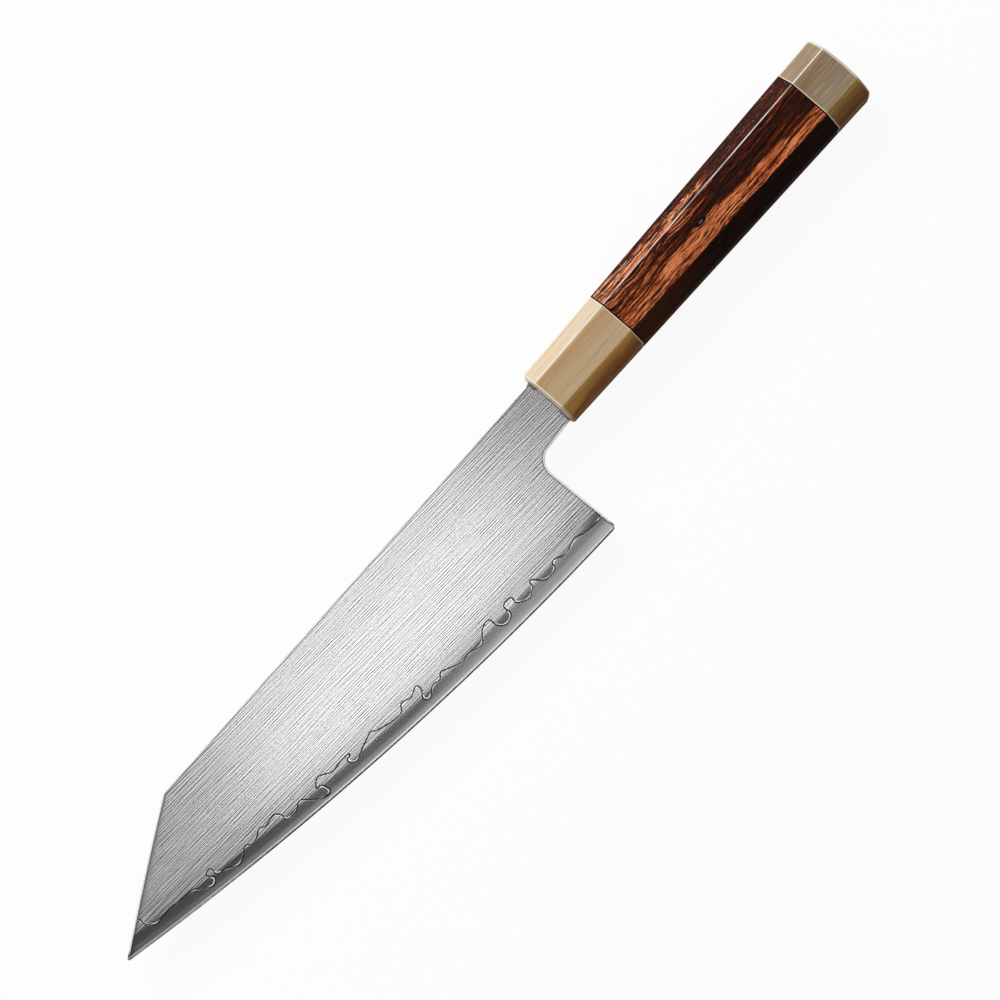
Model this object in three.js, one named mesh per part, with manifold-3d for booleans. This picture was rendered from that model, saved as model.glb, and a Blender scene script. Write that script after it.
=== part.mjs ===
// Bunka knife: a laminated blade with an angled tip, on an octagonal handle of wood and pale horn.
// Millimetres. The pieces are drawn with x = 0 on the ferrule's front face and the tip towards -x,
// y = 0 on the handle's axis and the spine towards +y, and z = 0 on the blade's middle plane.
// The finished knife lies on its right side, with its origin under the middle of its box.
import * as THREE from 'three';
import { mergeVertices } from 'three/addons/utils/BufferGeometryUtils.js';
import Module from 'manifold-3d';

const wasm = await Module();
wasm.setup();

// Blade outline
const BLADE_LENGTH = 205.4; // ferrule to the point where edge and angled tip would meet
const EDGE_RADIUS = 1030; // belly of the cutting edge
const HEEL_DEPTH = 40; // heel corner below the handle's axis
const TIP_DEPTH = 16.5; // tip below the handle's axis
const HEEL_SETBACK = 16; // top of the heel line, ahead of the ferrule
const HEEL_KICK = 1.05; // how much nearer to the ferrule the heel corner lies
const HEEL_RADIUS = 1.6;
const CHOIL_RADIUS = 5.5;
const NECK_ABOVE = 7.5; // spine above the axis, at the ferrule
const NECK_BELOW = 8.9; // underside of the neck below the axis, at the ferrule
const NECK_DROP = 0.95; // how much lower the underside is where it meets the heel line
const SPINE_RISE = 0.9; // from the ferrule to the corner of the angled tip
const TIP_RUN = 43.9; // angled tip, measured along the axis
const TIP_BOW = 0.3; // how far the angled tip swells past a straight line
const CORNER_RADIUS = 2.0; // between spine and angled tip
const TIP_RADIUS = 0.5;

// Blade thickness
const HEEL_THICKNESS = 2.2; // at the spine, above the heel
const CORNER_THICKNESS = 1.6; // at the spine's corner with the angled tip
const SHOULDER_THICKNESS = 1.5; // where the bevel starts, above the heel
const BEVEL_WIDTH = 7.0;
const BEVEL_CROWN = 1.7; // 1 is a flat bevel, more is rounder
const MICRO_WIDTH = 0.6; // honed strip at the edge
const MICRO_THICKNESS = 0.4;
const EDGE_THICKNESS = 0.1;
const EASE_WIDTH = 0.35; // chamfer on spine, angled tip, choil and heel
const EASE_WALL_SHARE = 0.45; // the most of the half thickness that the chamfer takes

// Three steel layers
const CORE_THICKNESS = 0.7;
// Lamination line on the left face: distance from the tip along the axis, and height above the edge.
const LAMINATION_LEFT = [
  [11.4, 8.6], [12.1, 5.9], [14.0, 4.1], [17.2, 4.6], [20.4, 5.3], [24.6, 5.2], [28.5, 5.4],
  [30.5, 4.0], [33.3, 2.7], [35.4, 4.1], [34.5, 6.3], [36.4, 7.1], [36.9, 4.8], [39.8, 4.1],
  [42.9, 2.8], [45.8, 4.1], [48.1, 5.8], [50.1, 5.3], [52.1, 5.7], [54.6, 7.1], [56.7, 6.8],
  [60.5, 7.5], [61.9, 6.3], [62.3, 4.2], [65.5, 4.3], [68.7, 5.8], [71.2, 3.9], [74.3, 1.9],
  [76.7, 2.4], [76.4, 5.0], [74.8, 5.7], [77.4, 7.7], [81.3, 6.3], [85.4, 6.9], [88.5, 6.8],
  [86.7, 5.5], [88.5, 3.9], [92.2, 5.5], [96.1, 7.1], [97.7, 7.4], [99.1, 6.7], [103.5, 5.6],
  [107.3, 5.7], [109.8, 7.6], [112.9, 7.2], [116.2, 8.4], [116.6, 6.9], [115.1, 4.3], [116.5, 3.2],
  [119.6, 5.2], [122.2, 5.2], [124.1, 6.4], [125.6, 6.1], [130.4, 4.4], [133.9, 4.8], [138.2, 4.1],
  [141.6, 7.0], [144.8, 7.8], [145.6, 4.8], [147.7, 3.3], [150.5, 4.5], [151.0, 7.6], [154.1, 7.8],
  [154.3, 5.6], [157.5, 4.0], [160.5, 5.4], [161.8, 7.3], [165.0, 4.4], [168.9, 4.6], [170.5, 6.6],
  [174.8, 5.5], [179.4, 6.6], [182.7, 5.8], [188.3, 5.2], [189.7, 5.7],
];
// The right face isn't seen, so its line is a plain wave of the same height and spacing.
const RIGHT_WAVE_HEIGHT = 5.4;
const RIGHT_WAVES = [
  { length: 10.5, swing: 1.1, start: 0.4 },
  { length: 17.0, swing: 0.7, start: 2.1 },
];

// Stick tang
const TANG_LENGTH = 80;
const TANG_WIDTH_FRONT = 9.5;
const TANG_WIDTH_REAR = 5.5;
const TANG_THICKNESS = 2.0;
const TANG_END_RADIUS = 1.5;
const TANG_CLEARANCE = 0.3; // around the tang in every slot
const TANG_ROOT = 4; // how far the tang's stock runs into the neck

// Resin seal between neck and ferrule
const SEAL_THICKNESS = 0.5;
const SEAL_LIP = 0.4; // how far the bead spreads on the ferrule's face

// Octagonal handle, tapering towards the blade
const FERRULE_LENGTH = 30.8;
const BODY_LENGTH = 85.8;
const CAP_LENGTH = 15.35; // to the middle of the butt
const FRONT_WIDTH = 19.8; // edge side to spine side
const REAR_WIDTH = 24.2;
const FRONT_HEIGHT = 17.6; // across the blade's plane
const REAR_HEIGHT = 21.3;
const FRONT_CHAMFER = 4.5;
const REAR_CHAMFER = 5.3;
const RIDGE_EASE = 0.3; // flat left where two facets meet
const FERRULE_ROUND = 1.0; // front rim of the ferrule
const JOINT_EASE = 0.22; // rims that meet at a glue joint
const BUTT_ROUND = 1.0; // rear rim of the end cap
const BUTT_RADIUS = 70; // of the ball that the butt is part of

// Dowels that line the handle up
const TANG_DOWEL_DIAMETER = 12.5;
const TANG_DOWEL_SEAT = 8; // depth of ferrule in front of its dowel bore
const TANG_DOWEL_TAIL = 4; // solid dowel behind the end of the tang
const CAP_DOWEL_DIAMETER = 8;
const CAP_DOWEL_IN_BODY = 12;
const CAP_DOWEL_IN_CAP = 8;
const DOWEL_CLEARANCE = 0.3;
const DOWEL_EASE = 0.6;

// Fineness of the curves
const EDGE_STEPS = 36;
const BEVEL_STEPS = 4;
const FILLET_STEPS = 6;
const ROUND_STEPS = 3;
const CROWN_STEPS = 3;
const LAMINATION_STEPS = 300;
const DOWEL_SIDES = 28;
const MARGIN = 6; // how far cutting shapes run past what they cut
const WEDGE_REACH = 1; // how far a chamfering wedge runs past the rim that it cuts
const MERGE_TOLERANCE = 1e-5;

// Sizes that follow from the ones above
const HANDLE_LENGTH = FERRULE_LENGTH + BODY_LENGTH + CAP_LENGTH;
const BODY_START = FERRULE_LENGTH;
const CAP_START = FERRULE_LENGTH + BODY_LENGTH;
const HEEL_X = HEEL_KICK - HEEL_SETBACK;
const CORNER_X = TIP_RUN - BLADE_LENGTH;
const NECK_END = -SEAL_THICKNESS;

// Solid geometry helpers

function toSolid(geometry) {
  const bare = geometry.clone();
  bare.deleteAttribute('normal');
  bare.deleteAttribute('uv');
  const merged = mergeVertices(bare, MERGE_TOLERANCE);
  const index = merged.index.array;
  const triangles = [];
  for (let i = 0; i < index.length; i += 3) {
    const [a, b, c] = [index[i], index[i + 1], index[i + 2]];
    if (a !== b && b !== c && c !== a) triangles.push(a, b, c);
  }
  return new wasm.Manifold(new wasm.Mesh({
    numProp: 3,
    vertProperties: new Float32Array(merged.attributes.position.array),
    triVerts: new Uint32Array(triangles),
  }));
}

function toGeometry(solid) {
  const mesh = solid.getMesh();
  const geometry = new THREE.BufferGeometry();
  geometry.setAttribute('position', new THREE.BufferAttribute(new Float32Array(mesh.vertProperties), 3));
  geometry.setIndex(Array.from(mesh.triVerts));
  geometry.computeVertexNormals();
  return geometry;
}

// Triangles over a loop of points that is a triangle itself or lies across the knife's length.
function capTriangles(loop) {
  if (loop.length === 3) return [[0, 1, 2]];
  return THREE.ShapeUtils.triangulateShape(loop.map((point) => new THREE.Vector2(point.y, point.z)), []);
}

// Skin over loops of points that run counter-clockwise when seen from the last loop's end.
function loft(loops) {
  const count = loops[0].length;
  const positions = loops.flat().flatMap((point) => [point.x, point.y, point.z]);
  const index = [];
  for (let i = 0; i + 1 < loops.length; i += 1) {
    for (let j = 0; j < count; j += 1) {
      const a = i * count + j;
      const b = i * count + (j + 1) % count;
      index.push(a, b, b + count, a, b + count, a + count);
    }
  }
  const lastLoop = (loops.length - 1) * count;
  for (const [a, b, c] of capTriangles(loops[0])) index.push(c, b, a);
  for (const [a, b, c] of capTriangles(loops.at(-1))) {
    index.push(lastLoop + a, lastLoop + b, lastLoop + c);
  }
  const geometry = new THREE.BufferGeometry();
  geometry.setAttribute('position', new THREE.Float32BufferAttribute(positions, 3));
  geometry.setIndex(index);
  return geometry;
}

function plate(points, bottom, top) {
  const geometry = new THREE.ExtrudeGeometry(new THREE.Shape(points), {
    depth: top - bottom,
    bevelEnabled: false,
  });
  return geometry.translate(0, 0, bottom);
}

// Cylinder along the handle's axis.
function bore(diameter, start, end) {
  const geometry = new THREE.CylinderGeometry(diameter / 2, diameter / 2, end - start, DOWEL_SIDES);
  return geometry.rotateZ(-Math.PI / 2).translate((start + end) / 2, 0, 0);
}

// Arc of the given radius in the corner of a path from one point through the corner to another.
function fillet(from, corner, to, radius) {
  const back = from.clone().sub(corner).normalize();
  const ahead = to.clone().sub(corner).normalize();
  const half = Math.acos(THREE.MathUtils.clamp(back.dot(ahead), -1, 1)) / 2;
  const reach = radius / Math.tan(half);
  const centre = back.clone().add(ahead).setLength(radius / Math.sin(half)).add(corner);
  const first = corner.clone().addScaledVector(back, reach).sub(centre).angle();
  const last = corner.clone().addScaledVector(ahead, reach).sub(centre).angle();
  const turn = THREE.MathUtils.euclideanModulo(last - first + Math.PI, 2 * Math.PI) - Math.PI;
  return Array.from({ length: FILLET_STEPS + 1 }, (_, i) => {
    const angle = first + turn * i / FILLET_STEPS;
    return new THREE.Vector2(Math.cos(angle), Math.sin(angle)).multiplyScalar(radius).add(centre);
  });
}

// Blade outline, from the neck's underside round the heel, edge and angled tip to the spine

const TIP = new THREE.Vector2(-BLADE_LENGTH, -TIP_DEPTH);
const HEEL = new THREE.Vector2(HEEL_X, -HEEL_DEPTH);
const edgeChord = TIP.clone().sub(HEEL);
const EDGE_CENTRE = HEEL.clone().add(TIP).multiplyScalar(0.5).addScaledVector(
  new THREE.Vector2(edgeChord.y, -edgeChord.x).normalize(),
  Math.sqrt(EDGE_RADIUS ** 2 - edgeChord.lengthSq() / 4));

function edgeY(x) {
  return EDGE_CENTRE.y - Math.sqrt(EDGE_RADIUS ** 2 - (x - EDGE_CENTRE.x) ** 2);
}

function spineY(x) {
  return NECK_ABOVE + SPINE_RISE * x / CORNER_X;
}

function edgePoint(x) {
  return new THREE.Vector2(x, edgeY(x));
}

const CORNER = new THREE.Vector2(CORNER_X, spineY(CORNER_X));
const NECK_LOW = new THREE.Vector2(NECK_END, -NECK_BELOW);
const NECK_HIGH = new THREE.Vector2(NECK_END, spineY(NECK_END));
const CHOIL = new THREE.Vector2(-HEEL_SETBACK, -NECK_BELOW - NECK_DROP);

// A quadratic curve swells half as far as its middle point lies from the chord.
const tipSwell = new THREE.Vector2(TIP.y - CORNER.y, CORNER.x - TIP.x).setLength(2 * TIP_BOW);
const TIP_MIDDLE = TIP.clone().add(CORNER).multiplyScalar(0.5).add(tipSwell);

const choilArc = fillet(NECK_LOW, CHOIL, HEEL, CHOIL_RADIUS);
const heelArc = fillet(CHOIL, HEEL, edgePoint(HEEL.x - HEEL_RADIUS), HEEL_RADIUS);
const tipArc = fillet(edgePoint(TIP.x + TIP_RADIUS), TIP, TIP_MIDDLE, TIP_RADIUS);
const cornerArc = fillet(TIP_MIDDLE, CORNER, NECK_HIGH, CORNER_RADIUS);
const edgeArc = Array.from({ length: EDGE_STEPS - 1 }, (_, i) => edgePoint(
  THREE.MathUtils.lerp(heelArc.at(-1).x, tipArc[0].x, (i + 1) / EDGE_STEPS)));
const angledTip = new THREE.QuadraticBezierCurve(tipArc.at(-1), TIP_MIDDLE, cornerArc[0])
  .getPoints(FILLET_STEPS);

const backOfHeel = [NECK_LOW, ...choilArc, heelArc[0]];
const spineAndTip = [...angledTip, ...cornerArc.slice(1), NECK_HIGH];
const bladeOutline = [...backOfHeel, ...heelArc.slice(1), ...edgeArc, ...tipArc.slice(0, -1), ...spineAndTip];

// Blade thickness: flat faces that thin towards tip and edge, a crowned bevel and a honed strip

const SPINE_AT_HEEL = spineY(HEEL_X);
const taperAlong = (HEEL_THICKNESS - CORNER_THICKNESS) / 2 / (HEEL_X - CORNER_X);
const taperAcross = (HEEL_THICKNESS - SHOULDER_THICKNESS) / 2
  / (SPINE_AT_HEEL + HEEL_DEPTH - BEVEL_WIDTH);

function faceHeight(x, y) {
  return HEEL_THICKNESS / 2 + taperAlong * (x - HEEL_X) + taperAcross * (y - SPINE_AT_HEEL);
}

function bevelHeight(x, share) {
  const shoulder = faceHeight(x, edgeY(x) + BEVEL_WIDTH);
  const rise = 1 - (1 - share) ** BEVEL_CROWN;
  return THREE.MathUtils.lerp(MICRO_THICKNESS / 2, shoulder, rise);
}

// Section across the blade, as distances above the edge paired with half thicknesses.
function bladeSection(x) {
  const section = [[-MARGIN, EDGE_THICKNESS / 2], [0, EDGE_THICKNESS / 2]];
  for (let i = 0; i <= BEVEL_STEPS; i += 1) {
    const share = i / BEVEL_STEPS;
    section.push([THREE.MathUtils.lerp(MICRO_WIDTH, BEVEL_WIDTH, share), bevelHeight(x, share)]);
  }
  const top = CORNER.y + MARGIN;
  section.push([top - edgeY(x), faceHeight(x, top)]);
  return section;
}

function halfThickness(x, y) {
  const section = bladeSection(x);
  const above = y - edgeY(x);
  const upper = section.findIndex(([height]) => height > above);
  const [low, lowHalf] = section[upper - 1];
  const [high, highHalf] = section[upper];
  return THREE.MathUtils.mapLinear(above, low, high, lowHalf, highHalf);
}

function groundStock() {
  const start = -BLADE_LENGTH - MARGIN;
  return loft(Array.from({ length: EDGE_STEPS + 1 }, (_, i) => {
    const x = THREE.MathUtils.lerp(start, MARGIN, i / EDGE_STEPS);
    const section = bladeSection(x);
    const under = section.map(([above, half]) => new THREE.Vector3(x, edgeY(x) + above, -half));
    const over = section.map(([above, half]) => new THREE.Vector3(x, edgeY(x) + above, half));
    return [...under, ...over.reverse()];
  }));
}

// Wedge that chamfers one face's rim along a stretch of the outline.
function easeWedge(path, face) {
  const loops = path.map((point, i) => {
    const before = path[Math.max(i - 1, 0)];
    const after = path[Math.min(i + 1, path.length - 1)];
    const along = after.clone().sub(before).normalize();
    const outward = new THREE.Vector2(-along.y, along.x);
    const half = halfThickness(point.x, point.y);
    const ease = Math.min(EASE_WIDTH, half * EASE_WALL_SHARE);
    const corner = (out, up) => new THREE.Vector3(
      point.x + outward.x * out, point.y + outward.y * out, face * (half + up));
    const reach = WEDGE_REACH;
    const wedge = [corner(reach, -ease - reach), corner(reach, reach), corner(-ease - reach, reach)];
    return face > 0 ? wedge : wedge.reverse();
  });
  return loft(loops);
}

function tangOutline(grow) {
  const front = TANG_WIDTH_FRONT / 2 + grow;
  const rear = TANG_WIDTH_REAR / 2 + grow;
  const end = TANG_LENGTH + grow;
  const root = -TANG_ROOT;
  const rootHalf = THREE.MathUtils.mapLinear(root, 0, end, front, rear);
  const lowRoot = new THREE.Vector2(root, -rootHalf);
  const lowEnd = new THREE.Vector2(end, -rear);
  const highEnd = new THREE.Vector2(end, rear);
  const highRoot = new THREE.Vector2(root, rootHalf);
  const radius = TANG_END_RADIUS + grow;
  return [lowRoot, ...fillet(lowRoot, lowEnd, highEnd, radius),
    ...fillet(lowEnd, highEnd, highRoot, radius), highRoot];
}

function tangPlate(grow) {
  const half = TANG_THICKNESS / 2 + grow;
  return toSolid(plate(tangOutline(grow), -half, half));
}

function bladeBlank() {
  let blank = toSolid(groundStock()).intersect(toSolid(plate(bladeOutline, -MARGIN, MARGIN)));
  for (const path of [backOfHeel, spineAndTip]) {
    for (const face of [1, -1]) blank = blank.subtract(toSolid(easeWedge(path, face)));
  }
  return blank.add(tangPlate(0));
}

// Lamination lines, as points over the blade's side

function leftLamination() {
  const points = LAMINATION_LEFT.map(([along, above]) => {
    const x = along - BLADE_LENGTH;
    return new THREE.Vector2(x, edgeY(x) + above);
  });
  return new THREE.SplineCurve(points).getSpacedPoints(LAMINATION_STEPS);
}

function rightLamination() {
  const steps = LAMINATION_STEPS / 2;
  return Array.from({ length: steps + 1 }, (_, i) => {
    const x = THREE.MathUtils.lerp(-BLADE_LENGTH, HEEL_X, i / steps);
    const swing = RIGHT_WAVES.reduce(
      (sum, wave) => sum + wave.swing * Math.sin(2 * Math.PI * x / wave.length + wave.start), 0);
    return new THREE.Vector2(x, edgeY(x) + RIGHT_WAVE_HEIGHT + swing);
  });
}

// Room for one cladding: everything on its face above the core and on the spine's side of its line.
function claddingRoom(line, face) {
  const left = -BLADE_LENGTH - MARGIN;
  const right = TANG_LENGTH + MARGIN;
  const top = CORNER.y + MARGIN;
  const around = [
    new THREE.Vector2(right, line.at(-1).y),
    new THREE.Vector2(right, top),
    new THREE.Vector2(left, top),
    new THREE.Vector2(left, line[0].y + MARGIN),
  ];
  const near = CORE_THICKNESS / 2;
  return toSolid(plate([...line, ...around], face > 0 ? near : -MARGIN, face > 0 ? MARGIN : -near));
}

// Handle pieces

// Octagon across the handle at x, drawn in by an inset, with a small flat at each corner.
function octagon(x, inset) {
  const share = x / HANDLE_LENGTH;
  const y = THREE.MathUtils.lerp(FRONT_WIDTH, REAR_WIDTH, share) / 2 - inset;
  const z = THREE.MathUtils.lerp(FRONT_HEIGHT, REAR_HEIGHT, share) / 2 - inset;
  const chamfer = THREE.MathUtils.lerp(FRONT_CHAMFER, REAR_CHAMFER, share) - inset * (2 - Math.SQRT2);
  const quarter = [[y, z - chamfer], [y - chamfer, z]];
  const mirrored = quarter.map(([a, b]) => [-a, b]).reverse();
  const upper = [...quarter, ...mirrored];
  const corners = [...upper, ...upper.map(([a, b]) => [-a, -b])].map(([a, b]) => new THREE.Vector2(a, b));
  return corners.flatMap((corner, i) => {
    const neighbours = [corners.at(i - 1), corners[(i + 1) % corners.length]];
    return neighbours.map((other) => {
      const eased = other.clone().sub(corner).setLength(RIDGE_EASE).add(corner);
      return new THREE.Vector3(x, eased.x, eased.y);
    });
  });
}

// Loops round a length of the handle whose rims are rounded by the given radii.
function handleLoops(start, end, startRound, endRound) {
  const angles = Array.from({ length: ROUND_STEPS + 1 }, (_, i) => Math.PI / 2 * i / ROUND_STEPS);
  const front = angles.map((angle) => octagon(
    start + startRound * (1 - Math.cos(angle)), startRound * (1 - Math.sin(angle))));
  const rear = angles.map((angle) => octagon(
    end - endRound * (1 - Math.cos(angle)), endRound * (1 - Math.sin(angle))));
  return [...front, ...rear.reverse()];
}

// Loops that carry an end face from its rim towards its middle.
function innerLoops(rim) {
  return Array.from({ length: CROWN_STEPS }, (_, i) => {
    const share = 1 - (i + 1) / (CROWN_STEPS + 1);
    return rim.map((point) => new THREE.Vector3(point.x, point.y * share, point.z * share));
  });
}

// Point set back from a flat butt to a ball-shaped one.
function onBall(point) {
  const setBack = (point.y ** 2 + point.z ** 2) / (2 * BUTT_RADIUS);
  return new THREE.Vector3(point.x - setBack, point.y, point.z);
}

const TANG_DOWEL_END = TANG_LENGTH + TANG_DOWEL_TAIL;
const TANG_BORE = TANG_DOWEL_DIAMETER + 2 * DOWEL_CLEARANCE;
const CAP_BORE = CAP_DOWEL_DIAMETER + 2 * DOWEL_CLEARANCE;

function ferrule() {
  const dowelBore = toSolid(bore(TANG_BORE, TANG_DOWEL_SEAT, FERRULE_LENGTH + MARGIN));
  return toSolid(loft(handleLoops(0, FERRULE_LENGTH, FERRULE_ROUND, JOINT_EASE)))
    .subtract(dowelBore)
    .subtract(tangPlate(TANG_CLEARANCE));
}

function handleBody() {
  const frontEnd = TANG_DOWEL_END + DOWEL_CLEARANCE;
  const rearEnd = CAP_START - CAP_DOWEL_IN_BODY - DOWEL_CLEARANCE;
  return toSolid(loft(handleLoops(BODY_START, CAP_START, JOINT_EASE, JOINT_EASE)))
    .subtract(toSolid(bore(TANG_BORE, BODY_START - MARGIN, frontEnd)))
    .subtract(toSolid(bore(CAP_BORE, rearEnd, CAP_START + MARGIN)));
}

function endCap() {
  const boreEnd = CAP_START + CAP_DOWEL_IN_CAP + DOWEL_CLEARANCE;
  const loops = handleLoops(CAP_START, HANDLE_LENGTH, JOINT_EASE, BUTT_ROUND);
  const front = loops.slice(0, loops.length / 2);
  const butt = [...loops.slice(loops.length / 2), ...innerLoops(loops.at(-1))];
  return toSolid(loft([...front, ...butt.map((loop) => loop.map(onBall))]))
    .subtract(toSolid(bore(CAP_BORE, CAP_START - MARGIN, boreEnd)));
}

function dowel(diameter, start, end) {
  const radius = diameter / 2;
  const length = end - start;
  const profile = [
    [0, 0], [radius - DOWEL_EASE, 0], [radius, DOWEL_EASE],
    [radius, length - DOWEL_EASE], [radius - DOWEL_EASE, length], [0, length],
  ].map(([r, along]) => new THREE.Vector2(r, along));
  const geometry = new THREE.LatheGeometry(profile, DOWEL_SIDES);
  return toSolid(geometry.rotateZ(-Math.PI / 2).translate(start, 0, 0));
}

function tangDowel() {
  const start = TANG_DOWEL_SEAT + DOWEL_CLEARANCE;
  return dowel(TANG_DOWEL_DIAMETER, start, TANG_DOWEL_END).subtract(tangPlate(TANG_CLEARANCE));
}

function capDowel() {
  return dowel(CAP_DOWEL_DIAMETER, CAP_START - CAP_DOWEL_IN_BODY, CAP_START + CAP_DOWEL_IN_CAP);
}

function tangSeal() {
  const rim = (x, lip) => {
    const half = faceHeight(NECK_END, 0) + lip;
    const low = -NECK_BELOW - lip;
    const high = NECK_HIGH.y + lip;
    return [[low, -half], [high, -half], [high, half], [low, half]].map(
      ([y, z]) => new THREE.Vector3(x, y, z));
  };
  return toSolid(loft([rim(NECK_END, 0), rim(0, SEAL_LIP)])).subtract(tangPlate(TANG_CLEARANCE));
}

// Assembly

function steel(color, roughness) {
  return new THREE.MeshStandardMaterial({ color, roughness, metalness: 1 });
}

function natural(color, roughness) {
  return new THREE.MeshStandardMaterial({ color, roughness, metalness: 0 });
}

const knife = new THREE.Group();

function addPiece(name, solid, material) {
  const mesh = new THREE.Mesh(toGeometry(solid), material);
  mesh.name = name;
  knife.add(mesh);
}

const blank = bladeBlank();
const leftRoom = claddingRoom(leftLamination(), 1);
const rightRoom = claddingRoom(rightLamination(), -1);

addPiece('blade_core', blank.subtract(leftRoom).subtract(rightRoom), steel('#8d8f90', 0.25));
addPiece('cladding_left', blank.intersect(leftRoom), steel('#bcbec0', 0.38));
addPiece('cladding_right', blank.intersect(rightRoom), steel('#bcbec0', 0.38));
addPiece('tang_seal', tangSeal(), natural('#4a3d36', 0.4));
addPiece('ferrule', ferrule(), natural('#cfb083', 0.35));
addPiece('handle_body', handleBody(), natural('#5a2c18', 0.3));
addPiece('end_cap', endCap(), natural('#a99472', 0.35));
addPiece('tang_dowel', tangDowel(), natural('#c29a63', 0.7));
addPiece('cap_dowel', capDowel(), natural('#c29a63', 0.7));

const box = new THREE.Box3().setFromObject(knife);
const middle = box.getCenter(new THREE.Vector3());
knife.position.set(-middle.x, -middle.y, -box.min.z);

export default knife;
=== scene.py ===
import math

import bpy
import numpy as np
from mathutils import Matrix, Vector
from mathutils.geometry import delaunay_2d_cdt


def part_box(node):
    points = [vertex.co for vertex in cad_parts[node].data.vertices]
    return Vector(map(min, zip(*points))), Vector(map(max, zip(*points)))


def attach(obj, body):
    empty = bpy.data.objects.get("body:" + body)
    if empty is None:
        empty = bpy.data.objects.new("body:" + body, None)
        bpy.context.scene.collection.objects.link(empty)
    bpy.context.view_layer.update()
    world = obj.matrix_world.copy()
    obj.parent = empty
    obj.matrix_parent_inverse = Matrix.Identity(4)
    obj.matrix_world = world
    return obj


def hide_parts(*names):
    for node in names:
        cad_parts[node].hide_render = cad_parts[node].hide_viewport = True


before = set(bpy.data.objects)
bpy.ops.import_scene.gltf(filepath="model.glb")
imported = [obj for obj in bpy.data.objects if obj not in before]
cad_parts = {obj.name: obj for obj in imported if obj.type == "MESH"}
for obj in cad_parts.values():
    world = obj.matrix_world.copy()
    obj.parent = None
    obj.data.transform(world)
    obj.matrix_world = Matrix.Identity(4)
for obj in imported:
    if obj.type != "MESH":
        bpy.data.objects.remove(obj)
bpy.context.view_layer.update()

# Blade outline
BLADE_LENGTH = 205.4
EDGE_RADIUS = 1030.0
HEEL_DEPTH = 40.0
TIP_DEPTH = 16.5
HEEL_SETBACK = 16.0
HEEL_KICK = 1.05
HEEL_RADIUS = 1.6
CHOIL_RADIUS = 5.5
NECK_ABOVE = 7.5
NECK_BELOW = 8.9
NECK_DROP = 0.95
SPINE_RISE = 0.9
TIP_RUN = 43.9
TIP_BOW = 0.3
CORNER_RADIUS = 2.0
TIP_RADIUS = 0.5
NECK_END = -0.5

# Blade thickness
HEEL_THICKNESS = 2.2
CORNER_THICKNESS = 1.6
SHOULDER_THICKNESS = 1.5
BEVEL_WIDTH = 7.0
BEVEL_CROWN = 1.7
MICRO_WIDTH = 0.6
MICRO_THICKNESS = 0.4
EDGE_THICKNESS = 0.1
CORE_THICKNESS = 0.7
EASE = 0.35  # rounding of spine, angled tip, choil and heel
EASE_SHARE = 0.4  # the most of one cladding that the rounding takes
LEAST_EASE = 0.05  # thinner rims stay sharp

# Tang
TANG_LENGTH = 80.0
TANG_WIDTH_FRONT = 9.5
TANG_WIDTH_REAR = 5.5
TANG_THICKNESS = 2.0
TANG_END_RADIUS = 1.5
TANG_CLEARANCE = 0.3

# Lamination line on the left face: distance from the tip along the axis, and height above the edge.
LAMINATION_LEFT = [
    (11.4, 8.6), (12.1, 5.9), (14.0, 4.1), (17.2, 4.6), (20.4, 5.3), (24.6, 5.2), (28.5, 5.4),
    (30.5, 4.0), (33.3, 2.7), (35.4, 4.1), (34.5, 6.3), (36.4, 7.1), (36.9, 4.8), (39.8, 4.1),
    (42.9, 2.8), (45.8, 4.1), (48.1, 5.8), (50.1, 5.3), (52.1, 5.7), (54.6, 7.1), (56.7, 6.8),
    (60.5, 7.5), (61.9, 6.3), (62.3, 4.2), (65.5, 4.3), (68.7, 5.8), (71.2, 3.9), (74.3, 1.9),
    (76.7, 2.4), (76.4, 5.0), (74.8, 5.7), (77.4, 7.7), (81.3, 6.3), (85.4, 6.9), (88.5, 6.8),
    (86.7, 5.5), (88.5, 3.9), (92.2, 5.5), (96.1, 7.1), (97.7, 7.4), (99.1, 6.7), (103.5, 5.6),
    (107.3, 5.7), (109.8, 7.6), (112.9, 7.2), (116.2, 8.4), (116.6, 6.9), (115.1, 4.3), (116.5, 3.2),
    (119.6, 5.2), (122.2, 5.2), (124.1, 6.4), (125.6, 6.1), (130.4, 4.4), (133.9, 4.8), (138.2, 4.1),
    (141.6, 7.0), (144.8, 7.8), (145.6, 4.8), (147.7, 3.3), (150.5, 4.5), (151.0, 7.6), (154.1, 7.8),
    (154.3, 5.6), (157.5, 4.0), (160.5, 5.4), (161.8, 7.3), (165.0, 4.4), (168.9, 4.6), (170.5, 6.6),
    (174.8, 5.5), (179.4, 6.6), (182.7, 5.8), (188.3, 5.2), (189.7, 5.7),
]
LEAD_IN = (-3, 1)  # how far the line runs on beyond its first point
LEAD_OUT = (3, 0)  # and beyond its last one
# On the right face a plain wave of the same height and spacing, as (length, swing, start).
RIGHT_WAVE_HEIGHT = 5.4
RIGHT_WAVES = [(10.5, 1.1, 0.4), (17.0, 0.7, 2.1)]
GROOVE_REACH = 0.36  # the etched lamination line sinks over this distance on both of its sides
GROOVE_DEPTH = 0.035

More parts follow.
